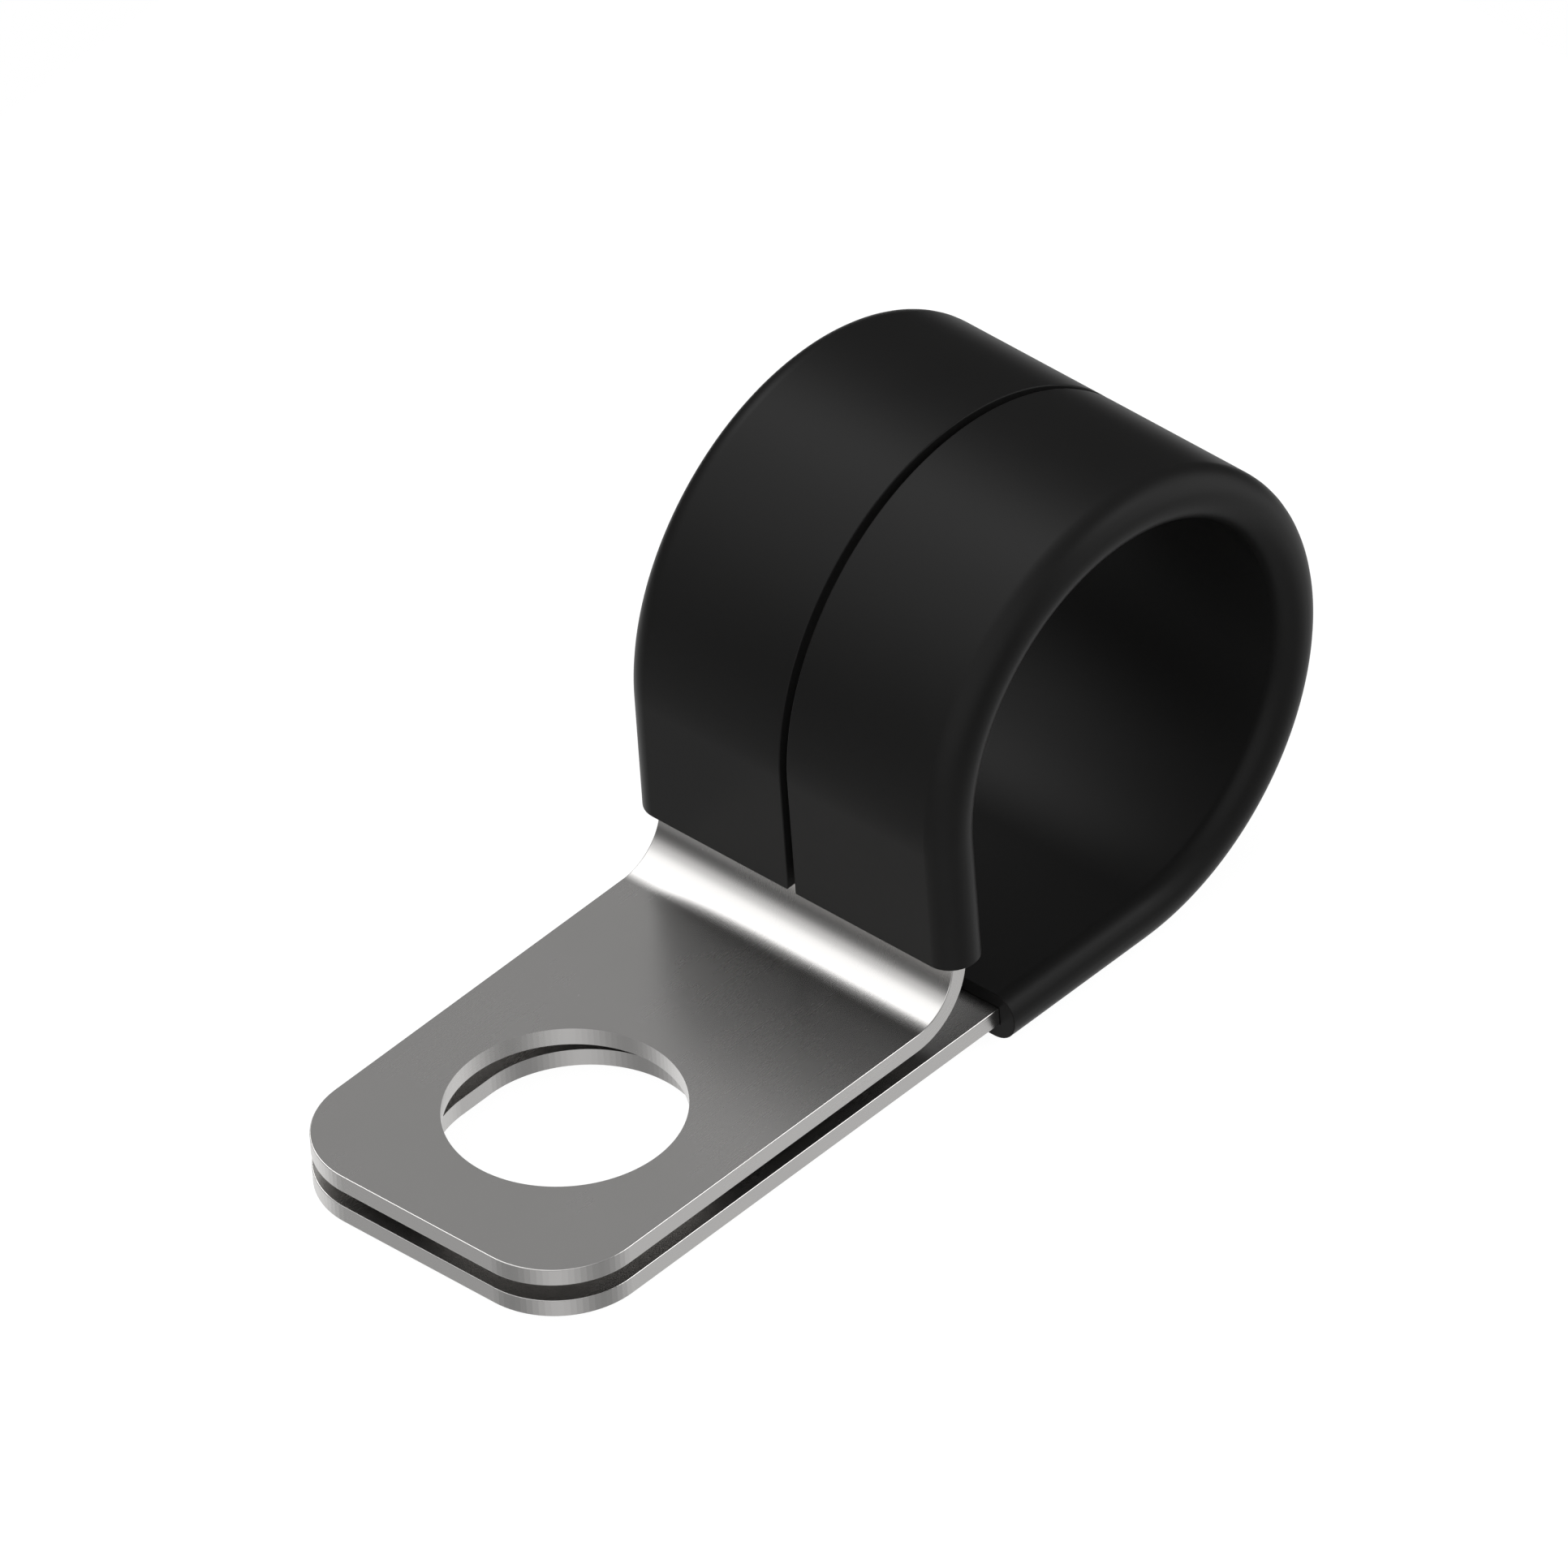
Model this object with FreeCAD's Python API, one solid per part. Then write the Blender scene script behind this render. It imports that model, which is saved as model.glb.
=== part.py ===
import FreeCAD, Part
import os

# A loop clamp for a cable or hose: one folded strip of sheet steel with a rubber channel
# pushed over its loop.
#
# The strip starts at its lower tab, runs flat under the loop, turns three quarters of a circle,
# comes down as a short leg and bends away again into an upper tab. The two tabs lie one over
# the other and share a bolt hole.
# Lengths are in millimetres. X runs from the bolt hole to the loop, Y across the strip, Z up.
# The origin is the centre of the bolt hole on the mounting face, the underside of the lower tab.

# Steel strip
band_width = 12.7
band_thickness = 0.64
edge_break = 0.03

# Tabs and bolt hole
hole_diameter = 7.92
hole_to_tab_end = 6.98
tab_corner_radius = 3.1
tab_gap = 0.61

# Loop and leg
hole_to_loop_centre = 19.72
band_loop_radius = 8.27
bend_inner_radius = 1.81

# Rubber channel
flap_thickness = 0.63
side_wall_thickness = 0.63
lining_thickness = 0.51
channel_clearance = 0.01
outer_corner_radius = 0.95
inner_corner_radius = 0.78
slit_width = 0.30
liner_foot_length = 6.35
liner_bend_clearance = 0.11

# Levels and places that follow from the sizes above
lower_tab_top = band_thickness
upper_tab_bottom = lower_tab_top + tab_gap
upper_tab_top = upper_tab_bottom + band_thickness
tab_end_x = -hole_to_tab_end
loop_centre_x = hole_to_loop_centre
loop_centre_z = band_loop_radius
band_bore_radius = band_loop_radius - band_thickness
leg_face_x = loop_centre_x - band_loop_radius
bend_centre_x = leg_face_x - bend_inner_radius
bend_centre_z = upper_tab_top + bend_inner_radius
bend_outer_radius = bend_inner_radius + band_thickness
liner_outer_radius = band_loop_radius + channel_clearance + flap_thickness
liner_bore_radius = band_bore_radius - channel_clearance - lining_thickness
liner_half_width = band_width / 2 + channel_clearance + side_wall_thickness
liner_leg_end_z = bend_centre_z + liner_bend_clearance
liner_foot_end_x = loop_centre_x - liner_foot_length

Y_AXIS = FreeCAD.Vector(0, 1, 0)
Z_AXIS = FreeCAD.Vector(0, 0, 1)
TOLERANCE = 1e-5


def in_profile(x, z):
    """A point of the side profile, in the plane midway across the strip."""
    return FreeCAD.Vector(x, 0, z)


def around(centre, radius, degrees):
    """A point on a circle of the side profile, counted from +X towards +Z."""
    turned = FreeCAD.Rotation(FreeCAD.Vector(0, -1, 0), degrees).multVec(FreeCAD.Vector(radius, 0, 0))
    return centre + turned


def arc(centre, radius, start, end):
    """An arc of the side profile through the middle of its sweep."""
    middle = (start + end) / 2
    points = [around(centre, radius, degrees) for degrees in (start, middle, end)]
    return Part.Arc(*points).toShape()


def line(start, end):
    return Part.LineSegment(start, end).toShape()


def band_profile():
    """The strip seen from the side: both its faces and the two sheared ends of the tabs.

    Its underside is drawn as two runs, so that the bare mounting face ends where the rubber begins.
    """
    loop = in_profile(loop_centre_x, loop_centre_z)
    bend = in_profile(bend_centre_x, bend_centre_z)
    outside = [
        line(in_profile(tab_end_x, 0), in_profile(liner_foot_end_x, 0)),
        line(in_profile(liner_foot_end_x, 0), in_profile(loop_centre_x, 0)),
        arc(loop, band_loop_radius, -90, 180),
        line(in_profile(leg_face_x, loop_centre_z), in_profile(leg_face_x, bend_centre_z)),
        arc(bend, bend_inner_radius, 0, -90),
        line(in_profile(bend_centre_x, upper_tab_top), in_profile(tab_end_x, upper_tab_top)),
    ]
    leg_back_x = leg_face_x + band_thickness
    inside = [
        line(in_profile(tab_end_x, upper_tab_top), in_profile(tab_end_x, upper_tab_bottom)),
        line(in_profile(tab_end_x, upper_tab_bottom), in_profile(bend_centre_x, upper_tab_bottom)),
        arc(bend, bend_outer_radius, -90, 0),
        line(in_profile(leg_back_x, bend_centre_z), in_profile(leg_back_x, loop_centre_z)),
        arc(loop, band_bore_radius, 180, -90),
        line(in_profile(loop_centre_x, lower_tab_top), in_profile(tab_end_x, lower_tab_top)),
        line(in_profile(tab_end_x, lower_tab_top), in_profile(tab_end_x, 0)),
    ]
    return Part.Face(Part.Wire(outside + inside))


def is_upright(edge, longest):
    """Whether an edge runs along Z and is no longer than a given length."""
    start = edge.Vertexes[0].Point
    end = edge.Vertexes[-1].Point
    along_z = abs(start.x - end.x) < TOLERANCE and abs(start.y - end.y) < TOLERANCE
    return along_z and edge.Length < longest + TOLERANCE


def middle_of(edge):
    return edge.valueAt((edge.FirstParameter + edge.LastParameter) / 2)


def tab_corners(band):
    """The upright edges at the two ends of the strip."""
    return [
        edge for edge in band.Edges
        if is_upright(edge, band_thickness) and abs(middle_of(edge).x - tab_end_x) < TOLERANCE
    ]


def rim_edges(band):
    """The edges that run round the strip's outline on each of its faces, the bolt hole's rims left out."""
    corner_start_x = tab_end_x + tab_corner_radius
    hole_reach = hole_diameter / 2 + TOLERANCE
    rims = []
    for edge in band.Edges:
        middle = middle_of(edge)
        on_side = abs(abs(middle.y) - band_width / 2) < TOLERANCE
        clear_of_hole = (middle.x ** 2 + middle.y ** 2) ** 0.5 > hole_reach
        on_end = middle.x < corner_start_x - TOLERANCE and clear_of_hole
        if (on_side or on_end) and not is_upright(edge, band_thickness):
            rims.append(edge)
    return rims


def make_band():
    """The folded steel strip with its rounded tabs, bolt hole and broken edges."""
    band = band_profile().extrude(FreeCAD.Vector(0, band_width, 0))
    band.translate(FreeCAD.Vector(0, -band_width / 2, 0))
    band = band.makeFillet(tab_corner_radius, tab_corners(band))
    drill_start = FreeCAD.Vector(0, 0, -upper_tab_top)
    drill = Part.makeCylinder(hole_diameter / 2, 3 * upper_tab_top, drill_start, Z_AXIS)
    band = band.cut(drill)
    return band.makeFillet(edge_break, rim_edges(band))


def across_liner(depth, y):
    """A point of the channel's section under the loop, at a depth below the loop's centre."""
    return FreeCAD.Vector(loop_centre_x, y, loop_centre_z - depth)


def rounded_section():
    """The channel's whole section before its pocket: a flat bar with two large and two smaller corners."""
    corners = [
        across_liner(liner_outer_radius, liner_half_width),
        across_liner(liner_outer_radius, -liner_half_width),
        across_liner(liner_bore_radius, -liner_half_width),
        across_liner(liner_bore_radius, liner_half_width),
    ]
    radii = [outer_corner_radius, outer_corner_radius, inner_corner_radius, inner_corner_radius]
    edges = []
    count = len(corners)
    for index, corner in enumerate(corners):
        before = (corners[index - 1] - corner).normalize()
        after = (corners[(index + 1) % count] - corner).normalize()
        radius = radii[index]
        centre = corner + before * radius + after * radius
        middle = centre + (corner - centre).normalize() * radius
        edges.append(Part.Arc(corner + before * radius, middle, corner + after * radius).toShape())
        following = corners[(index + 1) % count] - after * radii[(index + 1) % count]
        edges.append(line(corner + after * radius, following))
    return Part.Face(Part.Wire(edges))


def box_section(near, far, half_width):
    """A rectangle of the section between two depths below the loop's centre."""
    corners = [
        across_liner(near, -half_width),
        across_liner(near, half_width),
        across_liner(far, half_width),
        across_liner(far, -half_width),
    ]
    return Part.Face(Part.makePolygon(corners + corners[:1]))


def liner_section():
    """The channel's section: the pocket that holds the strip, open through a slit between its two flaps."""
    pocket_half_width = band_width / 2 + channel_clearance
    pocket = box_section(
        band_bore_radius - channel_clearance,
        band_loop_radius + channel_clearance,
        pocket_half_width,
    )
    slit = box_section(band_loop_radius, liner_outer_radius + flap_thickness, slit_width / 2)
    section = rounded_section().cut(pocket.fuse(slit))
    return section.Faces[0]


def make_liner():
    """The rubber channel: a straight foot under the loop, three quarters of a turn and a straight leg."""
    section = liner_section()
    loop_centre = in_profile(loop_centre_x, loop_centre_z)
    turn = section.revolve(loop_centre, -Y_AXIS, 270)
    foot = section.extrude(FreeCAD.Vector(-liner_foot_length, 0, 0))
    leg_start = section.copy()
    leg_start.rotate(loop_centre, -Y_AXIS, 270)
    leg = leg_start.extrude(FreeCAD.Vector(0, 0, liner_leg_end_z - loop_centre_z))
    return turn.fuse([foot, leg]).Solids[0]


def main():
    nodes = {
        "steel_band": make_band(),
        "rubber_liner": make_liner(),
    }
    os.makedirs("parts", exist_ok=True)
    for name, shape in nodes.items():
        shape.exportStep(f"parts/{name}.step")


main()
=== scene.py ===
import math

import bpy
from mathutils import Matrix, Vector


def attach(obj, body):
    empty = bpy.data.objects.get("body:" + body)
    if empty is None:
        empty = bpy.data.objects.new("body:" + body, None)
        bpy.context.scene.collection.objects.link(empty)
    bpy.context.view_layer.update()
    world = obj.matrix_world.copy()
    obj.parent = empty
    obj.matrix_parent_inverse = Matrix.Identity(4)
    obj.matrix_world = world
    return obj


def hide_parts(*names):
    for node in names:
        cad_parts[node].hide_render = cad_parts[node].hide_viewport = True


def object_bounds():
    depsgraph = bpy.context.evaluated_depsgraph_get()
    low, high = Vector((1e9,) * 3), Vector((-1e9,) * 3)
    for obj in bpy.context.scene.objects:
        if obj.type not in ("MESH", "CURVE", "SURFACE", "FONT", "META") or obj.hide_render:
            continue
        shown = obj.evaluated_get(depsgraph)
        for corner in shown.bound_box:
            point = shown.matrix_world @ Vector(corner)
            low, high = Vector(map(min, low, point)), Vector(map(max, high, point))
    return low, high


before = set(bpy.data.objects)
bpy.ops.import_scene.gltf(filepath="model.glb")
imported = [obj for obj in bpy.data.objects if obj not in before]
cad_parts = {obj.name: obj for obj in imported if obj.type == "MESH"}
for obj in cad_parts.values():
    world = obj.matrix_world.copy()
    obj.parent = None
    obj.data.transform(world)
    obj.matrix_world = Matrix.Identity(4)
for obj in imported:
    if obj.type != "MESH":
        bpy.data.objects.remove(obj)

bl_info = {
    "name": "Rubber-lined P clip",
    "version": (1, 0, 0),
    "blender": (4, 5, 0),
    "location": "3D View > Sidebar > P clip",
    "description": "Folds the steel strip of a P clip, lays its rubber channel and lights them",
    "category": "Object",
}

MM = 0.001
CAD_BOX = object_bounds()

# Values for the shapes

# What the meshes carry besides their shape: each point's place on the flat blank, whether it
# lies on the slit's edges, and each edge's share of the rounding
BLANK_PLACE = "blank_place"
ON_SLIT = "on_slit"
EDGE_WEIGHT = "bevel_weight_edge"

# Straight runs round each bolt hole, in each rounded corner of the tabs and across each
# rounded edge
HOLE_STEPS = 128
TAB_CORNER_STEPS = 24
EDGE_STEPS = 3

# Points closer than this are made one, and the loop's turn from the lower tab to the leg
JOINING_DISTANCE = 0.001 * MM
LOOP_TURN = 1.5 * math.pi

# Edges that turn by more than this many degrees may be rounded, and those that turn by more
# than the second one end the smooth shading
ROUNDED_TURN = 60
CREASED_TURN = 40

# How far a hole's rim is taken to reach, against its true size
RIM_MARGIN = 1.01

# An edge lies along the slit where both its ends do, and at the channel's end where one of its
# faces has more corners than the four of every swept face. Both are told from averages.
ALONG_SLIT = 0.9
SWEPT_CORNERS = 4.5

# The trim node's inputs for lengths. Its inputs for shares have the same names, so these are
# known by their numbers.
TRIM_START, TRIM_END = 4, 5

# Values for the finishes

# The mix node's inputs and output for colours, known by their numbers for the same reason
MIX_FIRST, MIX_SECOND, MIX_RESULT = 6, 7, 2

# The finishes' noise, with scales in waves per metre
STEEL_GRAIN = {"Scale": 9000.0, "Detail": 3.0, "Roughness": 0.6}
STEEL_CLOUDS = {"Scale": 220.0, "Detail": 4.0, "Roughness": 0.55}
RUBBER_SKIN = {"Scale": 7000.0, "Detail": 3.0, "Roughness": 0.6}
RUBBER_BLOOM = {"Scale": 160.0, "Detail": 5.0, "Roughness": 0.6}

# How the steel's grain is drawn out along the strip, and what grain and clouds add to its tone
GRAIN_STRETCH = (0.03, 1.0, 1.0)
GRAIN_SHARE = 0.35
CLOUD_SHARE = 0.65

# How deep each finish is marked
STEEL_BUMP = {"Strength": 0.002, "Distance": 0.01 * MM}
RUBBER_BUMP = {"Strength": 0.08, "Distance": 0.02 * MM}

# How far a finish's colour swings round its middle, as a share of it, and how far its
# roughness does, as a plain number
STEEL_COLOUR_SWING = 0.015
STEEL_ROUGHNESS_SWING = 0.01
RUBBER_COLOUR_SWING = 0.12
RUBBER_ROUGHNESS_SWING = 0.04

# The rubber's own shine, where 0.5 is that of a plain plastic
RUBBER_SPECULAR = 0.1

# Values for the stage

# How far off the camera stands, and the nearest and farthest that it sees, in metres
CAMERA_DISTANCE = 0.3
CAMERA_NEAREST = 0.001
CAMERA_FARTHEST = 10.0

WHITE = (1.0, 1.0, 1.0, 1.0)

# The studio's soft lights. Each has its place as the clip sees it, as an azimuth from +X towards
# +Y and an elevation, the angle from its middle up to which it is full and the one where it
# has faded, all in degrees, and its brightness.
SOFT_LIGHTS = {
    "Key": (105, 52, 14, 34, 1.6),
    "Beside the key": (138, 34, 6, 23, 0.8),
    "Overhead": (75, 68, 12, 38, 0.65),
    "Behind the loop": (77, 40, 4, 15, 3.3),
    "Over the tabs": (75, 40, 8, 30, 0.56),
    "Left": (206, 35, 20, 64, 1.24),
    "Low front": (323, 8, 18, 46, 1.7),
    "Edge line": (311, 34, 8, 18, 2.6),
}

# The soft patches of light on the floor, as the steel mirrors them, written in the same way,
# and the floor's brightness between them
FLOOR_GLOWS = {
    "Behind": (70, -39, 20, 63, 0.7),
    "Near": (219, -39, 0, 43, 0.48),
    "Right": (338, -39, 0, 50, 0.62),
}
FLOOR_LEVEL = 0.33

# Rays straight from the camera see the floor as plain white by this share, at this brightness:
# over one, so that the floor's own shade beside it still adds up to white
FLOOR_SHARE = 0.85
FLOOR_WHITE = 1.12

# How far plain white stands in for the studio's walls, for rays straight from the camera and
# for rays by way of metal or glass
WALL_SHARES = (1.0, 0.02)


# Settings that a user may change


def length_setting(name, millimetres, description):
    """A length of the clip, kept in metres."""
    return bpy.props.FloatProperty(
        name=name,
        description=description,
        default=millimetres * MM,
        min=0.0,
        precision=5,
        subtype="DISTANCE",
        unit="LENGTH",
    )


def share_setting(name, default, description):
    """A plain number between nothing and one."""
    return bpy.props.FloatProperty(
        name=name,
        description=description,
        default=default,
        min=0.0,
        max=1.0,
        subtype="FACTOR",
    )


def colour_setting(name, default, description):
    """A surface colour, without its alpha."""
    return bpy.props.FloatVectorProperty(
        name=name,
        description=description,
        default=default,
        size=3,
        min=0.0,
        max=1.0,
        subtype="COLOR",
    )


def angle_setting(name, degrees, description):
    """An angle, kept in radians."""
    return bpy.props.FloatProperty(
        name=name,
        description=description,
        default=math.radians(degrees),
        subtype="ANGLE",
        unit="ROTATION",
    )


class ClipStripSettings(bpy.types.PropertyGroup):
    """Sizes of the folded steel strip."""

    width: length_setting("Width", 12.7, "Width of the strip")
    thickness: length_setting("Thickness", 0.64, "Thickness of the sheet")
    edge_break: length_setting("Edge break", 0.03, "Rounding of the strip's outline")
    hole_diameter: length_setting("Hole", 7.92, "Diameter of the bolt hole through both tabs")
    slot_stretch: length_setting("Slot stretch", 0.64, "Drawing out of the lower hole's two ends")
    tab_reach: length_setting("Tab reach", 6.98, "From the middle of the hole to the tabs' ends")
    tab_corner: length_setting("Tab corner", 3.1, "Radius of the tabs' corners, seen from above")
    tab_gap: length_setting("Tab gap", 0.61, "Gap between the two tabs")
    loop_distance: length_setting("Loop distance", 19.72, "From the hole to the loop's middle")
    loop_radius: length_setting("Loop radius", 8.27, "Outer radius of the strip's loop")
    bend_radius: length_setting("Bend radius", 1.81, "Inner radius of the bend into the upper tab")
    arc_steps: bpy.props.IntProperty(
        name="Arc steps",
        description="Straight runs in each quarter turn of the strip",
        default=48,
        min=4,
        max=128,
    )

    def upper_level(self):
        """The height of the upper tab's top face."""
        return 2 * self.thickness + self.tab_gap

    def path_inputs(self):
        """What the clip's path is drawn from."""
        return {
            "Tab reach": self.tab_reach,
            "Loop distance": self.loop_distance,
            "Loop radius": self.loop_radius,
            "Bend radius": self.bend_radius,
            "Upper level": self.upper_level(),
            "Arc steps": self.arc_steps,
        }


class ClipRubberSettings(bpy.types.PropertyGroup):
    """Sizes of the rubber channel on the loop."""

    flap: length_setting("Flap", 0.63, "Thickness of the two flaps over the strip's outer face")
    side_wall: length_setting("Side wall", 0.63, "Thickness of the walls beside the strip")
    lining: length_setting("Lining", 0.51, "Thickness of the rubber inside the loop")
    clearance: length_setting("Clearance", 0.01, "Gap between the rubber and the strip")
    outer_corner: length_setting("Outer corner", 0.95, "Rounding of the channel's outer corners")
    inner_corner: length_setting("Inner corner", 0.78, "Rounding of the corners towards the bore")
    slit: length_setting("Slit", 0.30, "Gap between the two flaps")
    slit_lip: length_setting("Slit lip", 0.04, "Rounding of the flaps along the slit")
    end_round: length_setting("End rounding", 0.03, "Rounding of the channel's two cut ends")
    flap_corner: length_setting("Flap corner", 0.1, "Rounding of the flaps where the slit ends")
    foot_length: length_setting("Foot length", 6.35, "Straight run of rubber under the loop")
    bend_clearance: length_setting("Bend clearance", 0.11, "From the bend to the leg's end")
    corner_steps: bpy.props.IntProperty(
        name="Corner steps",
        description="Straight runs in each rounded corner of the channel's section",
        default=10,
        min=2,
        max=32,
    )


class ClipFinishSettings(bpy.types.PropertyGroup):
    """Colours and gloss of the clip."""

    steel_colour: colour_setting("Steel", (0.572, 0.563, 0.553), "Colour of the stainless strip")
    steel_roughness: share_setting("Steel roughness", 0.272, "How far the steel blurs reflections")
    rubber_colour: colour_setting("Rubber", (0.0105, 0.0104, 0.0103), "Colour of the rubber")
    rubber_roughness: share_setting("Rubber roughness", 0.4, "How far the rubber blurs highlights")


class ClipStageSettings(bpy.types.PropertyGroup):
    """The camera's angle and frame, and the studio round the clip."""

    azimuth: angle_setting("Azimuth", -44.593, "How far the camera stands round the clip")
    elevation: angle_setting("Elevation", 39.119, "How far the camera looks down on the clip")
    roll: angle_setting("Roll", -4.328, "How far the camera leans sideways")
    frame_width: length_setting("Frame width", 49.768, "Width of the picture at the clip")
    aim: bpy.props.FloatVectorProperty(
        name="Aim",
        description="The point at the middle of the picture",
        default=(9.797 * MM, -1.050 * MM, 9.429 * MM),
        size=3,
        precision=5,
        subtype="TRANSLATION",
        unit="LENGTH",
    )
    floor_reach: length_setting("Floor reach", 50.0, "Half the width of the floor")
    floor_colour: colour_setting("Floor", (0.8, 0.8, 0.8), "Colour of the floor")
    wall_level: share_setting("Walls", 0.04, "Brightness of the studio's walls between its lights")


# Node trees


class TreeMaker:
    """Adds nodes to one node tree, and sets or links their inputs as it goes."""

    def __init__(self, tree):
        self.tree = tree

    def feed(self, socket, value):
        """Links a socket to another one, or to several, or sets it to a plain value."""
        if isinstance(value, bpy.types.NodeSocket):
            self.tree.links.new(value, socket)
        elif isinstance(value, list):
            for one in value:
                self.tree.links.new(one, socket)
        else:
            socket.default_value = value

    def node(self, kind, inputs=None, **settings):
        """A new node with its settings and inputs."""
        node = self.tree.nodes.new(kind)
        for name, value in settings.items():
            setattr(node, name, value)
        for key, value in (inputs or {}).items():
            self.feed(node.inputs[key], value)
        return node

    def add(self, kind, inputs=None, output=0, **settings):
        """The output of a new node."""
        return self.node(kind, inputs, **settings).outputs[output]

    def math(self, operation, *values):
        """One step of arithmetic on plain numbers."""
        return self.add("ShaderNodeMath", dict(enumerate(values)), operation=operation)

    def vector_math(self, operation, *values, output=0):
        """One step of arithmetic on vectors."""
        inputs = dict(enumerate(values))
        return self.add("ShaderNodeVectorMath", inputs, output, operation=operation)

    def vector(self, x, y, z):
        """A vector from its three parts."""
        return self.add("ShaderNodeCombineXYZ", {0: x, 1: y, 2: z})

    def parts(self, vector):
        """The three parts of a vector."""
        return self.node("ShaderNodeSeparateXYZ", {0: vector}).outputs

    def negative(self, value):
        return self.math("MULTIPLY", value, -1.0)

    def half(self, value):
        return self.math("MULTIPLY", value, 0.5)

    def exceeds(self, value, limit):
        """Whether one number is larger than another."""
        return self.add("FunctionNodeCompare", {0: value, 1: limit}, operation="GREATER_THAN")

    def both(self, first, second):
        return self.add("FunctionNodeBooleanMath", {0: first, 1: second}, operation="AND")

    def either(self, first, second):
        return self.add("FunctionNodeBooleanMath", {0: first, 1: second}, operation="OR")

    def chosen(self, condition, value, otherwise):
        """One of two numbers."""
        inputs = {"Switch": condition, "True": value, "False": otherwise}
        return self.add("GeometryNodeSwitch", inputs, input_type="FLOAT")

    def is_sharp(self, degrees):
        """Whether an edge turns by more than an angle."""
        return self.exceeds(self.add("GeometryNodeInputMeshEdgeAngle"), math.radians(degrees))

    def by_index(self, data_type, values):
        """A value chosen from a list by the number of the point it is for."""
        switch = self.node("GeometryNodeIndexSwitch", data_type=data_type)
        while len(switch.index_switch_items) < len(values):
            switch.index_switch_items.new()
        self.feed(switch.inputs[0], self.add("GeometryNodeInputIndex"))
        for socket, value in zip(switch.inputs[1:], values):
            self.feed(socket, value)
        return switch.outputs[0]

    def rounded_line(self, corners, radii, steps, closed):
        """A curve through a row of corners, each rounded to its own radius."""
        line = self.add("GeometryNodeMeshLine", {"Count": len(corners), "Offset": (0, 0, 0)})
        places = [self.vector(*corner) for corner in corners]
        moved = self.add(
            "GeometryNodeSetPosition",
            {"Geometry": line, "Position": self.by_index("VECTOR", places)},
        )
        curve = self.add("GeometryNodeMeshToCurve", {"Mesh": moved})
        if closed:
            curve = self.add("GeometryNodeSetSplineCyclic", {"Geometry": curve, "Cyclic": True})
        inputs = {
            "Curve": curve,
            "Count": steps,
            "Radius": self.by_index("FLOAT", radii),
            "Limit Radius": False,
        }
        return self.add("GeometryNodeFilletCurve", inputs, mode="POLY")

    def joined(self, pieces):
        """Several pieces of mesh made one where their points meet."""
        together = self.add("GeometryNodeJoinGeometry", {"Geometry": pieces})
        return self.merged(together)

    def merged(self, geometry):
        inputs = {"Geometry": geometry, "Distance": JOINING_DISTANCE}
        return self.add("GeometryNodeMergeByDistance", inputs)

    def named(self, geometry, name, value, data_type, domain, selection=True):
        """Geometry that carries a named value on its points, edges or faces."""
        inputs = {"Geometry": geometry, "Selection": selection, "Name": name, "Value": value}
        return self.add(
            "GeometryNodeStoreNamedAttribute",
            inputs,
            data_type=data_type,
            domain=domain,
        )

    def creased(self, geometry, degrees):
        """Smooth shading that stops at every edge sharper than an angle."""
        inputs = {"Geometry": geometry, "Selection": self.is_sharp(degrees), "Shade Smooth": False}
        return self.add("GeometryNodeSetShadeSmooth", inputs, domain="EDGE")

    def finish(self, geometry, material):
        """Plain geometry with its material, handed to the tree's output."""
        real = self.add("GeometryNodeRealizeInstances", {"Geometry": geometry})
        dressed = self.add("GeometryNodeSetMaterial", {"Geometry": real, "Material": material})
        self.node("NodeGroupOutput", {0: dressed})


SOCKET_KINDS = {
    "length": "NodeSocketFloat",
    "count": "NodeSocketInt",
    "material": "NodeSocketMaterial",
    "geometry": "NodeSocketGeometry",
}


def geometry_tree(name, inputs, output):
    """A new geometry tree with named inputs, and the sockets that hand them on."""
    tree = bpy.data.node_groups.new(name, "GeometryNodeTree")
    for label, kind in inputs.items():
        socket = tree.interface.new_socket(
            name=label,
            in_out="INPUT",
            socket_type=SOCKET_KINDS[kind],
        )
        if kind == "length":
            socket.subtype = "DISTANCE"
    tree.interface.new_socket(name=output, in_out="OUTPUT", socket_type=SOCKET_KINDS["geometry"])
    maker = TreeMaker(tree)
    given = maker.node("NodeGroupInput").outputs
    return maker, {label: given[label] for label in inputs}


PATH_INPUTS = {
    "Tab reach": "length",
    "Loop distance": "length",
    "Loop radius": "length",
    "Bend radius": "length",
    "Upper level": "length",
    "Arc steps": "count",
}


def clip_path_tree():
    """The line of the strip's outer face seen from the side, from one tab's end to the other's."""
    maker, given = geometry_tree("Clip path", PATH_INPUTS, "Path")
    radius = given["Loop radius"]
    tab_end = maker.negative(given["Tab reach"])
    leg = maker.math("SUBTRACT", given["Loop distance"], radius)
    far = maker.math("ADD", given["Loop distance"], radius)
    top = maker.math("MULTIPLY", radius, 2.0)
    upper = given["Upper level"]
    corners = [
        (tab_end, 0.0, 0.0),
        (far, 0.0, 0.0),
        (far, 0.0, top),
        (leg, 0.0, top),
        (leg, 0.0, upper),
        (tab_end, 0.0, upper),
    ]
    radii = [0.0, radius, radius, radius, given["Bend radius"], 0.0]
    line = maker.rounded_line(corners, radii, given["Arc steps"], closed=False)
    edges = maker.add("GeometryNodeCurveToMesh", {"Curve": line})
    path = maker.add("GeometryNodeMeshToCurve", {"Mesh": maker.merged(edges)})
    maker.node("NodeGroupOutput", {0: path})
    return maker.tree


def add_path(maker, given, path_tree):
    """The clip's path inside another tree."""
    inputs = {label: given[label] for label in PATH_INPUTS}
    return maker.add("GeometryNodeGroup", inputs, node_tree=path_tree)


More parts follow.
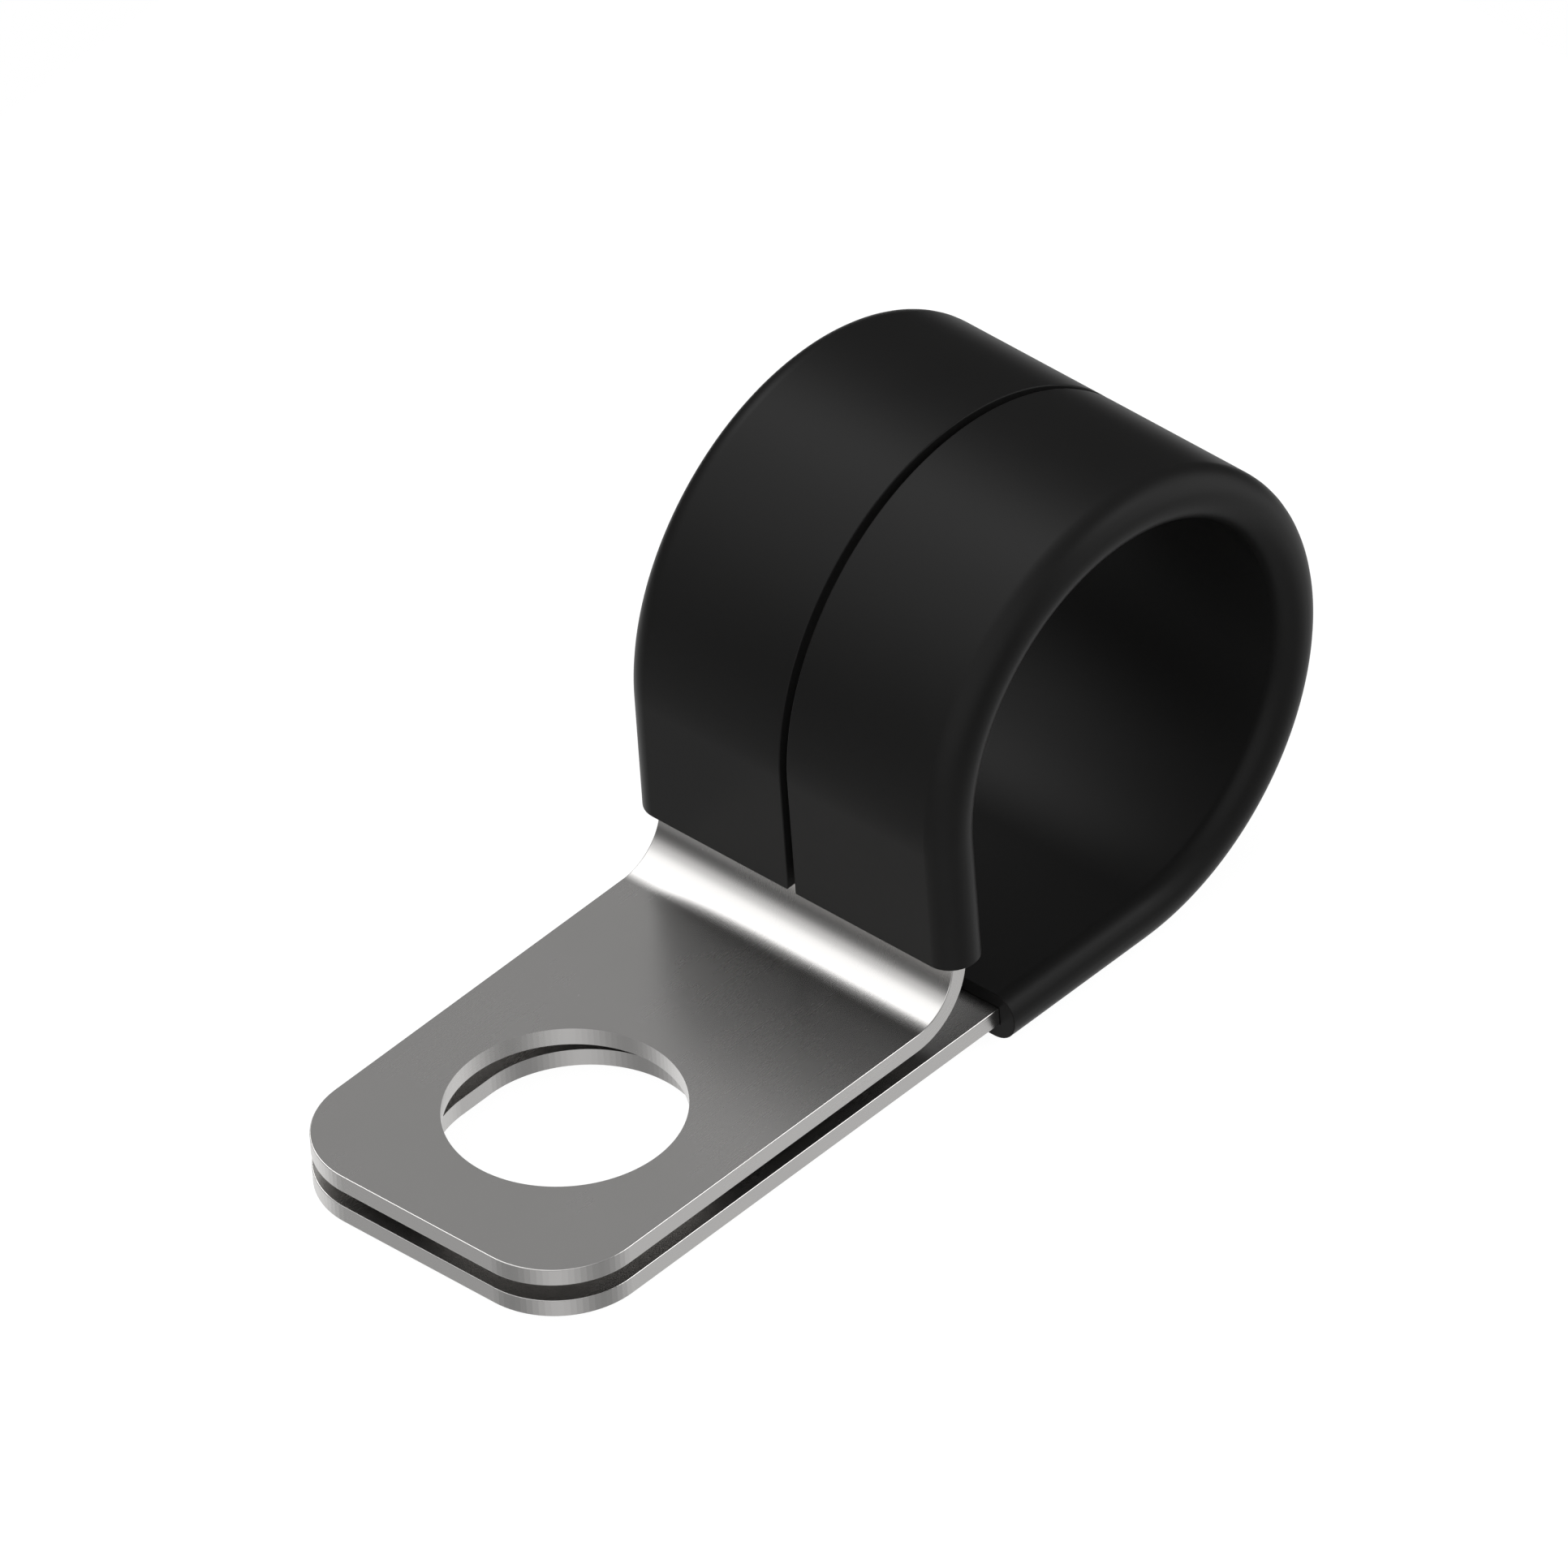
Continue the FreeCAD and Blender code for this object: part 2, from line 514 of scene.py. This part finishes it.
STRIP_INPUTS = {
    **PATH_INPUTS,
    "Width": "length",
    "Thickness": "length",
    "Hole": "length",
    "Slot stretch": "length",
    "Tab corner": "length",
    "Material": "material",
}


def add_hole(maker, given, stretch):
    """The outline of a tab's hole: a circle, or a slot where its two halves are drawn apart."""
    circle = maker.add(
        "GeometryNodeCurvePrimitiveCircle",
        {"Resolution": HOLE_STEPS, "Radius": maker.half(given["Hole"])},
    )
    # Turned by half a step, so that no point lies where the halves part
    turned = maker.add(
        "GeometryNodeTransform",
        {"Geometry": circle, "Rotation": (0.0, 0.0, math.pi / HOLE_STEPS)},
    )
    side = maker.math("SIGN", maker.parts(maker.add("GeometryNodeInputPosition"))[0])
    shift = maker.vector(maker.math("MULTIPLY", side, stretch), 0.0, 0.0)
    drawn = maker.add("GeometryNodeSetPosition", {"Geometry": turned, "Offset": shift})
    return maker.add(
        "GeometryNodeTransform",
        {"Geometry": drawn, "Translation": maker.vector(given["Tab reach"], 0.0, 0.0)},
    )


def add_tab(maker, given, reach, stretch):
    """A flat tab of the blank with rounded corners and its hole, up to a given length."""
    side = maker.half(given["Width"])
    other_side = maker.negative(side)
    corners = [
        (0.0, other_side, 0.0),
        (reach, other_side, 0.0),
        (reach, side, 0.0),
        (0.0, side, 0.0),
    ]
    radii = [given["Tab corner"], 0.0, 0.0, given["Tab corner"]]
    outline = maker.rounded_line(corners, radii, TAB_CORNER_STEPS, closed=True)
    hole = add_hole(maker, given, stretch)
    curves = maker.add("GeometryNodeJoinGeometry", {"Geometry": [outline, hole]})
    return maker.add("GeometryNodeFillCurve", {"Curve": curves}, mode="NGONS")


def add_blank(maker, given, path, path_length):
    """The flat sheet that the strip is folded from, with its length laid along X."""
    along = maker.add("GeometryNodeSplineParameter", output="Length")
    edge = maker.negative(maker.half(given["Width"]))
    rail = maker.add(
        "GeometryNodeSetPosition",
        {"Geometry": path, "Position": maker.vector(along, edge, 0.0)},
    )
    sheet = maker.add(
        "GeometryNodeExtrudeMesh",
        {
            "Mesh": maker.add("GeometryNodeCurveToMesh", {"Curve": rail}),
            "Offset": maker.vector(0.0, given["Width"], 0.0),
            "Offset Scale": 1.0,
        },
        mode="EDGES",
    )
    leg = maker.math("SUBTRACT", given["Loop distance"], given["Loop radius"])
    lower_reach = maker.math("ADD", given["Tab reach"], given["Loop distance"])
    upper_reach = maker.math(
        "SUBTRACT",
        maker.math("ADD", given["Tab reach"], leg),
        given["Bend radius"],
    )
    place = maker.parts(maker.add("GeometryNodeInputPosition"))[0]
    upper_start = maker.math("SUBTRACT", path_length, upper_reach)
    in_tabs = maker.either(
        maker.exceeds(lower_reach, place),
        maker.exceeds(place, upper_start),
    )
    bends = maker.add(
        "GeometryNodeDeleteGeometry",
        {"Geometry": sheet, "Selection": in_tabs},
        domain="FACE",
    )
    lower_tab = add_tab(maker, given, lower_reach, given["Slot stretch"])
    upper_tab = maker.add(
        "GeometryNodeTransform",
        {
            "Geometry": add_tab(maker, given, upper_reach, 0.0),
            "Translation": maker.vector(path_length, 0.0, 0.0),
            "Scale": (-1.0, 1.0, 1.0),
        },
    )
    flat = maker.joined([lower_tab, bends, upper_tab])
    facing = maker.parts(maker.add("GeometryNodeInputNormal"))[2]
    return maker.add(
        "GeometryNodeFlipFaces",
        {"Mesh": flat, "Selection": maker.exceeds(0.0, facing)},
    )


def clear_of_holes(maker, given, path_length, place):
    """Whether an edge of the flat plate lies outside the rims of both tabs' holes."""
    x, y, _ = maker.parts(place)
    slot_reach = maker.math("ADD", maker.half(given["Hole"]), given["Slot stretch"])
    hole_rim = maker.math("MULTIPLY", slot_reach, RIM_MARGIN)
    hole_places = (given["Tab reach"], maker.math("SUBTRACT", path_length, given["Tab reach"]))
    clear = [
        maker.exceeds(
            maker.vector_math(
                "LENGTH",
                maker.vector(maker.math("SUBTRACT", x, hole_x), y, 0.0),
                output="Value",
            ),
            hole_rim,
        )
        for hole_x in hole_places
    ]
    return maker.both(*clear)


def folded_place(maker, path):
    """Where a point of the flat plate comes to lie when it is folded along the path."""
    place_kept = maker.node(
        "GeometryNodeInputNamedAttribute",
        {"Name": BLANK_PLACE},
        data_type="FLOAT_VECTOR",
    )
    along, across, depth = maker.parts(place_kept.outputs["Attribute"])
    sample = maker.node("GeometryNodeSampleCurve", {"Curves": path}, mode="LENGTH")
    maker.feed(sample.inputs["Length"], along)
    inward = maker.vector_math("CROSS_PRODUCT", sample.outputs["Tangent"], (0.0, 1.0, 0.0))
    unit_inward = maker.vector_math("NORMALIZE", inward)
    through = maker.add(
        "ShaderNodeVectorMath",
        {"Vector": unit_inward, "Scale": depth},
        operation="SCALE",
    )
    sideways = maker.vector(0.0, across, 0.0)
    on_outer_face = maker.vector_math("ADD", sample.outputs["Position"], sideways)
    return maker.vector_math("ADD", on_outer_face, through)


def strip_tree(path_tree):
    """The steel strip: a flat blank given its thickness and folded along the clip's path."""
    maker, given = geometry_tree("Folded strip", STRIP_INPUTS, "Strip")
    path = add_path(maker, given, path_tree)
    path_length = maker.add("GeometryNodeCurveLength", {"Curve": path})
    blank = add_blank(maker, given, path, path_length)
    thickness = maker.vector(0.0, 0.0, given["Thickness"])
    raised = maker.add(
        "GeometryNodeExtrudeMesh",
        {"Mesh": blank, "Offset": thickness, "Offset Scale": 1.0, "Individual": False},
    )
    underside = maker.add("GeometryNodeFlipFaces", {"Mesh": blank})
    plate = maker.joined([raised, underside])

    # Only the outline's rims are broken: the pierced holes stay crisp
    place = maker.add("GeometryNodeInputPosition")
    clear = clear_of_holes(maker, given, path_length, place)
    rims = maker.both(maker.is_sharp(ROUNDED_TURN), clear)
    marked = maker.named(plate, EDGE_WEIGHT, 1.0, "FLOAT", "EDGE", rims)
    kept = maker.named(marked, BLANK_PLACE, place, "FLOAT_VECTOR", "POINT")
    folded = maker.add(
        "GeometryNodeSetPosition",
        {"Geometry": kept, "Position": folded_place(maker, path)},
    )
    maker.finish(maker.creased(folded, CREASED_TURN), given["Material"])
    return maker.tree


CHANNEL_INPUTS = {
    **PATH_INPUTS,
    "Width": "length",
    "Thickness": "length",
    "Flap": "length",
    "Side wall": "length",
    "Lining": "length",
    "Clearance": "length",
    "Outer corner": "length",
    "Inner corner": "length",
    "Slit": "length",
    "Slit lip": "length",
    "End rounding": "length",
    "Flap corner": "length",
    "Foot length": "length",
    "Leg end": "length",
    "Corner steps": "count",
    "Material": "material",
}


def add_channel_section(maker, given):
    """The channel cut across: its pocket for the strip opens between two flaps.

    X runs across the strip and Y away from the bore, from the strip's outer face.
    """
    clearance = given["Clearance"]
    pocket_side = maker.math("ADD", maker.half(given["Width"]), clearance)
    side = maker.math("ADD", pocket_side, given["Side wall"])
    lip = maker.half(given["Slit"])
    flap_inside = clearance
    flap_outside = maker.math("ADD", clearance, given["Flap"])
    lining_depth = maker.math("ADD", given["Thickness"], clearance)
    lining_outside = maker.negative(lining_depth)
    bore = maker.math("SUBTRACT", lining_outside, given["Lining"])
    half = [
        (side, bore, given["Inner corner"]),
        (side, flap_outside, given["Outer corner"]),
        (lip, flap_outside, 0.0),
        (lip, flap_inside, 0.0),
        (pocket_side, flap_inside, 0.0),
        (pocket_side, lining_outside, 0.0),
    ]
    other_half = [(maker.negative(x), y, radius) for x, y, radius in reversed(half)]
    outline = half + other_half
    corners = [(x, y, 0.0) for x, y, _ in outline]
    radii = [radius for _, _, radius in outline]
    section = maker.rounded_line(corners, radii, given["Corner steps"], closed=True)
    across = maker.math("ABSOLUTE", maker.parts(maker.add("GeometryNodeInputPosition"))[0])
    in_slit = maker.exceeds(given["Slit"], across)
    return maker.named(section, ON_SLIT, in_slit, "FLOAT", "POINT")


def channel_rounding(maker, given):
    """Each edge's share of the rounding: at the slit, at the cut ends and most where they meet."""
    on_slit = maker.node("GeometryNodeInputNamedAttribute", {"Name": ON_SLIT})
    beside_slit = maker.exceeds(on_slit.outputs["Attribute"], ALONG_SLIT)
    face_corners = maker.node("GeometryNodeInputMeshFaceNeighbors").outputs["Vertex Count"]
    at_end = maker.exceeds(face_corners, SWEPT_CORNERS)
    lip_share = maker.math("DIVIDE", given["Slit lip"], given["Flap corner"])
    end_share = maker.math("DIVIDE", given["End rounding"], given["Flap corner"])
    along_slit = maker.both(beside_slit, maker.is_sharp(ROUNDED_TURN))
    return maker.chosen(
        at_end,
        maker.chosen(beside_slit, 1.0, end_share),
        maker.chosen(along_slit, lip_share, 0.0),
    )


def channel_tree(path_tree):
    """The rubber channel: its section swept along the part of the clip's path that it covers."""
    maker, given = geometry_tree("Rubber channel", CHANNEL_INPUTS, "Channel")
    path = add_path(maker, given, path_tree)
    loop_start = maker.math("ADD", given["Tab reach"], given["Loop distance"])
    start = maker.math("SUBTRACT", loop_start, given["Foot length"])
    turn = maker.math("MULTIPLY", given["Loop radius"], LOOP_TURN)
    leg = maker.math("SUBTRACT", given["Loop radius"], given["Leg end"])
    end = maker.math("ADD", maker.math("ADD", loop_start, turn), leg)
    covered = maker.node("GeometryNodeTrimCurve", {"Curve": path}, mode="LENGTH")
    maker.feed(covered.inputs[TRIM_START], start)
    maker.feed(covered.inputs[TRIM_END], end)
    swept = maker.add(
        "GeometryNodeCurveToMesh",
        {
            "Curve": covered.outputs[0],
            "Profile Curve": add_channel_section(maker, given),
            "Fill Caps": True,
        },
    )
    shares = channel_rounding(maker, given)
    marked = maker.named(swept, EDGE_WEIGHT, shares, "FLOAT", "EDGE")
    maker.finish(maker.creased(marked, CREASED_TURN), given["Material"])
    return maker.tree


# Pieces


def made_by_nodes(name, tree, inputs, edge_round):
    """A plain mesh object of what a geometry tree makes from its inputs."""
    maker_object = bpy.data.objects.new(name + "_maker", bpy.data.meshes.new(name + "_maker"))
    bpy.context.scene.collection.objects.link(maker_object)
    nodes = maker_object.modifiers.new("Shape", "NODES")
    nodes.node_group = tree
    for socket in tree.interface.items_tree:
        if socket.in_out == "INPUT":
            nodes[socket.identifier] = inputs[socket.name]
    if edge_round:
        bevel = maker_object.modifiers.new("Broken edges", "BEVEL")
        bevel.limit_method = "WEIGHT"
        bevel.width = edge_round
        bevel.segments = EDGE_STEPS
        bevel.use_clamp_overlap = False
    weighted = maker_object.modifiers.new("Even shading", "WEIGHTED_NORMAL")
    weighted.keep_sharp = True
    evaluated = maker_object.evaluated_get(bpy.context.evaluated_depsgraph_get())
    mesh = bpy.data.meshes.new_from_object(evaluated)
    mesh.name = name
    mesh.materials.clear()
    mesh.materials.append(inputs["Material"])
    mesh.polygons.foreach_set("material_index", [0] * len(mesh.polygons))
    bpy.data.objects.remove(maker_object)
    piece = bpy.data.objects.new(name, mesh)
    bpy.context.scene.collection.objects.link(piece)
    return piece


def path_tree_of_file():
    """The clip's path, drawn once and shared by both pieces."""
    return bpy.data.node_groups.get("Clip path") or clip_path_tree()


# Finishes


def empty_tree(owner):
    """The tree maker of a new material or world, with nothing in its tree yet."""
    owner.use_nodes = True
    owner.node_tree.nodes.clear()
    return TreeMaker(owner.node_tree)


def material_maker(name):
    """A new node material, its tree maker and its shader."""
    material = bpy.data.materials.new(name)
    maker = empty_tree(material)
    shader = maker.node("ShaderNodeBsdfPrincipled")
    maker.node("ShaderNodeOutputMaterial", {"Surface": shader.outputs[0]})
    return material, maker, shader


def opaque(colour):
    """A colour with its alpha."""
    return (*colour, 1.0)


def scaled(colour, factor):
    """A lighter or darker colour of the same hue."""
    return tuple(part * factor for part in colour)


def varied_colour(maker, tone, colour, swing):
    """A colour that runs from a little darker to a little lighter as a tone goes from 0 to 1."""
    mix = maker.node("ShaderNodeMix", {"Factor": tone}, data_type="RGBA")
    mix.inputs[MIX_FIRST].default_value = opaque(scaled(colour, 1 - swing))
    mix.inputs[MIX_SECOND].default_value = opaque(scaled(colour, 1 + swing))
    return mix.outputs[MIX_RESULT]


def varied_roughness(maker, tone, roughness, swing):
    """A roughness that runs from a little less to a little more as a tone goes from 0 to 1."""
    inputs = {"Value": tone, "To Min": roughness - swing, "To Max": roughness + swing}
    return maker.add("ShaderNodeMapRange", inputs)


def steel_material(finish):
    """Rolled stainless sheet: a fine grain along the strip and a faint clouding."""
    material, maker, shader = material_maker("Stainless strip")
    place = maker.add("ShaderNodeAttribute", output="Vector", attribute_name=BLANK_PLACE)
    stretched = maker.add("ShaderNodeMapping", {"Vector": place, "Scale": GRAIN_STRETCH})
    grain = maker.add("ShaderNodeTexNoise", {"Vector": stretched, **STEEL_GRAIN})
    object_place = maker.add("ShaderNodeTexCoord", output="Object")
    clouds = maker.add("ShaderNodeTexNoise", {"Vector": object_place, **STEEL_CLOUDS})
    tone = maker.math(
        "ADD",
        maker.math("MULTIPLY", grain, GRAIN_SHARE),
        maker.math("MULTIPLY", clouds, CLOUD_SHARE),
    )
    colour = varied_colour(maker, tone, finish.steel_colour, STEEL_COLOUR_SWING)
    roughness = varied_roughness(maker, tone, finish.steel_roughness, STEEL_ROUGHNESS_SWING)
    bump = maker.add("ShaderNodeBump", {"Height": grain, **STEEL_BUMP})
    maker.feed(shader.inputs["Metallic"], 1.0)
    maker.feed(shader.inputs["Base Color"], colour)
    maker.feed(shader.inputs["Roughness"], roughness)
    maker.feed(shader.inputs["Normal"], bump)
    return material


def rubber_material(finish):
    """Moulded black rubber: satin, with a fine skin texture and faint uneven bloom."""
    material, maker, shader = material_maker("Black rubber")
    place = maker.add("ShaderNodeTexCoord", output="Object")
    skin = maker.add("ShaderNodeTexNoise", {"Vector": place, **RUBBER_SKIN})
    bloom = maker.add("ShaderNodeTexNoise", {"Vector": place, **RUBBER_BLOOM})
    colour = varied_colour(maker, bloom, finish.rubber_colour, RUBBER_COLOUR_SWING)
    roughness = varied_roughness(maker, bloom, finish.rubber_roughness, RUBBER_ROUGHNESS_SWING)
    bump = maker.add("ShaderNodeBump", {"Height": skin, **RUBBER_BUMP})
    maker.feed(shader.inputs["Specular IOR Level"], RUBBER_SPECULAR)
    maker.feed(shader.inputs["Base Color"], colour)
    maker.feed(shader.inputs["Roughness"], roughness)
    maker.feed(shader.inputs["Normal"], bump)
    return material


# Stage


def camera_axes(stage):
    """The camera's right, up and back directions from its azimuth, elevation and roll."""
    azimuth, elevation, roll = stage.azimuth, stage.elevation, stage.roll
    back = Vector((
        math.sin(azimuth) * math.cos(elevation),
        -math.cos(azimuth) * math.cos(elevation),
        math.sin(elevation),
    ))
    level_right = Vector((math.cos(azimuth), math.sin(azimuth), 0.0))
    level_up = back.cross(level_right)
    right = level_right * math.cos(roll) + level_up * math.sin(roll)
    up = level_up * math.cos(roll) - level_right * math.sin(roll)
    return right, up, back


def facing_matrix(place, right, up, back):
    """Stands a camera at a place, looking against its back direction."""
    turn = Matrix((right, up, back)).transposed()
    return Matrix.Translation(place) @ turn.to_4x4()


def add_camera(stage):
    """A camera without perspective, at the photograph's angle."""
    data = bpy.data.cameras.new("Camera")
    data.type = "ORTHO"
    data.ortho_scale = stage.frame_width
    data.clip_start = CAMERA_NEAREST
    data.clip_end = CAMERA_FARTHEST
    camera = bpy.data.objects.new("Camera", data)
    bpy.context.scene.collection.objects.link(camera)
    right, up, back = camera_axes(stage)
    place = Vector(stage.aim) + back * CAMERA_DISTANCE
    camera.matrix_world = facing_matrix(place, right, up, back)
    bpy.context.scene.camera = camera


def ray_kinds(maker):
    """Whether a ray comes straight from the camera, and whether by way of metal or glass."""
    path = maker.node("ShaderNodeLightPath").outputs
    mirrored = maker.math("MAXIMUM", path["Is Glossy Ray"], path["Is Transmission Ray"])
    return path["Is Camera Ray"], mirrored


def direction_to(azimuth, elevation):
    """The unit vector towards a place round the clip, from its angles in degrees."""
    turn, rise = math.radians(azimuth), math.radians(elevation)
    return (
        math.cos(turn) * math.cos(rise),
        math.sin(turn) * math.cos(rise),
        math.sin(rise),
    )


def soft_light(maker, view, azimuth, elevation, full, faded, brightness):
    """One soft light where a ray looks, with a broad fading rim."""
    middle = direction_to(azimuth, elevation)
    nearness = maker.vector_math("DOT_PRODUCT", view, middle, output="Value")
    inputs = {
        "Value": maker.math("ARCCOSINE", nearness),
        "From Min": math.radians(full),
        "From Max": math.radians(faded),
        "To Min": brightness,
        "To Max": 0.0,
    }
    return maker.add("ShaderNodeMapRange", inputs, interpolation_type="SMOOTHSTEP")


def lit_level(maker, view, lights, level):
    """How bright it is where a ray looks: several soft lights over an even level."""
    for light in lights.values():
        level = maker.math("ADD", soft_light(maker, view, *light), level)
    return level


def floor_material(stage):
    """A pale floor that looks white and keeps a faint shadow, and is clear from below.

    Metal mirrors it with its soft patches of light.
    """
    material = bpy.data.materials.new("Pale floor")
    maker = empty_tree(material)
    from_camera, mirrored = ray_kinds(maker)
    lit = maker.add("ShaderNodeBsdfDiffuse", {"Color": opaque(stage.floor_colour)})
    white = maker.add("ShaderNodeEmission", {"Color": WHITE, "Strength": FLOOR_WHITE})
    share = maker.math("MULTIPLY", from_camera, FLOOR_SHARE)
    seen = maker.add("ShaderNodeMixShader", {0: share, 1: lit, 2: white})
    geometry = maker.node("ShaderNodeNewGeometry").outputs
    view = maker.vector_math("MULTIPLY", geometry["Incoming"], (-1.0, -1.0, -1.0))
    level = lit_level(maker, view, FLOOR_GLOWS, FLOOR_LEVEL)
    glowing = maker.add("ShaderNodeEmission", {"Color": WHITE, "Strength": level})
    surface = maker.add("ShaderNodeMixShader", {0: mirrored, 1: seen, 2: glowing})
    clear = maker.add("ShaderNodeBsdfTransparent")
    shown = maker.add("ShaderNodeMixShader", {0: geometry["Backfacing"], 1: surface, 2: clear})
    maker.node("ShaderNodeOutputMaterial", {"Surface": shown})
    return material


def add_floor(stage):
    """The floor that the clip rests on."""
    reach = stage.floor_reach
    level = CAD_BOX[0].z
    middle = (CAD_BOX[0] + CAD_BOX[1]) / 2
    corners = [(-reach, -reach), (reach, -reach), (reach, reach), (-reach, reach)]
    mesh = bpy.data.meshes.new("Floor")
    mesh.from_pydata([(middle.x + x, middle.y + y, level) for x, y in corners], [], [(0, 1, 2, 3)])
    mesh.materials.append(floor_material(stage))
    floor = bpy.data.objects.new("Floor", mesh)
    bpy.context.scene.collection.objects.link(floor)


def add_studio(stage):
    """The dark room round the clip with its soft lights, seen as plain white by the camera."""
    world = bpy.data.worlds.new("Studio")
    bpy.context.scene.world = world
    maker = empty_tree(world)
    view = maker.add("ShaderNodeTexCoord", output="Generated")
    level = lit_level(maker, view, SOFT_LIGHTS, stage.wall_level)
    lit = maker.add("ShaderNodeBackground", {"Color": WHITE, "Strength": level})
    white = maker.add("ShaderNodeBackground", {"Color": WHITE})
    from_camera, mirrored = ray_kinds(maker)
    straight_share, mirrored_share = WALL_SHARES
    share = maker.math(
        "MULTIPLY_ADD",
        mirrored,
        mirrored_share,
        maker.math("MULTIPLY", from_camera, straight_share),
    )
    shown = maker.add("ShaderNodeMixShader", {0: share, 1: lit, 2: white})
    maker.node("ShaderNodeOutputWorld", {"Surface": shown})


# Operators


class CLIP_OT_steel_strip(bpy.types.Operator):
    """Folds the steel strip from a flat blank and gives it its stainless finish"""

    bl_idname = "clip.steel_strip"
    bl_label = "Steel strip"
    bl_options = {"REGISTER", "UNDO"}

    def execute(self, context):
        strip = context.scene.clip_strip
        inputs = strip.path_inputs()
        inputs.update({
            "Width": strip.width,
            "Thickness": strip.thickness,
            "Hole": strip.hole_diameter,
            "Slot stretch": strip.slot_stretch,
            "Tab corner": strip.tab_corner,
            "Material": steel_material(context.scene.clip_finish),
        })
        tree = strip_tree(path_tree_of_file())
        piece = made_by_nodes("folded_strip", tree, inputs, strip.edge_break)
        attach(piece, "root")
        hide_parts("steel_band")
        return {"FINISHED"}


class CLIP_OT_rubber_channel(bpy.types.Operator):
    """Sweeps the rubber channel along the loop and gives it its rubber finish"""

    bl_idname = "clip.rubber_channel"
    bl_label = "Rubber channel"
    bl_options = {"REGISTER", "UNDO"}

    def execute(self, context):
        strip = context.scene.clip_strip
        rubber = context.scene.clip_rubber
        inputs = strip.path_inputs()
        inputs.update({
            "Width": strip.width,
            "Thickness": strip.thickness,
            "Flap": rubber.flap,
            "Side wall": rubber.side_wall,
            "Lining": rubber.lining,
            "Clearance": rubber.clearance,
            "Outer corner": rubber.outer_corner,
            "Inner corner": rubber.inner_corner,
            "Slit": rubber.slit,
            "Slit lip": rubber.slit_lip,
            "End rounding": rubber.end_round,
            "Flap corner": rubber.flap_corner,
            "Foot length": rubber.foot_length,
            "Leg end": strip.upper_level() + strip.bend_radius + rubber.bend_clearance,
            "Corner steps": rubber.corner_steps,
            "Material": rubber_material(context.scene.clip_finish),
        })
        tree = channel_tree(path_tree_of_file())
        piece = made_by_nodes("rubber_channel", tree, inputs, rubber.flap_corner)
        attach(piece, "root")
        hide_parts("rubber_liner")
        return {"FINISHED"}


class CLIP_OT_stage(bpy.types.Operator):
    """Sets up the camera, the pale floor and the studio with its soft lights"""

    bl_idname = "clip.stage"
    bl_label = "Stage"
    bl_options = {"REGISTER", "UNDO"}

    def execute(self, context):
        stage = context.scene.clip_stage
        add_camera(stage)
        add_floor(stage)
        add_studio(stage)
        context.scene.view_settings.view_transform = "Standard"
        return {"FINISHED"}


class CLIP_PT_panel(bpy.types.Panel):
    """The clip's pieces and settings in the sidebar"""

    bl_idname = "CLIP_PT_panel"
    bl_label = "P clip"
    bl_space_type = "VIEW_3D"
    bl_region_type = "UI"
    bl_category = "P clip"

    def draw(self, context):
        scene = context.scene
        for operator, settings in (
            (CLIP_OT_steel_strip, (scene.clip_strip, scene.clip_finish)),
            (CLIP_OT_rubber_channel, (scene.clip_rubber,)),
            (CLIP_OT_stage, (scene.clip_stage,)),
        ):
            box = self.layout.box()
            for group in settings:
                for name in group.__annotations__:
                    box.prop(group, name)
            box.operator(operator.bl_idname)


CLASSES = (
    ClipStripSettings,
    ClipRubberSettings,
    ClipFinishSettings,
    ClipStageSettings,
    CLIP_OT_steel_strip,
    CLIP_OT_rubber_channel,
    CLIP_OT_stage,
    CLIP_PT_panel,
)


def register():
    for new_class in CLASSES:
        bpy.utils.register_class(new_class)
    bpy.types.Scene.clip_strip = bpy.props.PointerProperty(type=ClipStripSettings)
    bpy.types.Scene.clip_rubber = bpy.props.PointerProperty(type=ClipRubberSettings)
    bpy.types.Scene.clip_finish = bpy.props.PointerProperty(type=ClipFinishSettings)
    bpy.types.Scene.clip_stage = bpy.props.PointerProperty(type=ClipStageSettings)


def unregister():
    del bpy.types.Scene.clip_stage
    del bpy.types.Scene.clip_finish
    del bpy.types.Scene.clip_rubber
    del bpy.types.Scene.clip_strip
    for old_class in reversed(CLASSES):
        bpy.utils.unregister_class(old_class)


def main():
    """Makes the clip and its stage."""
    register()
    bpy.ops.clip.steel_strip()
    bpy.ops.clip.rubber_channel()
    bpy.ops.clip.stage()


if __name__ == "__main__":
    main()
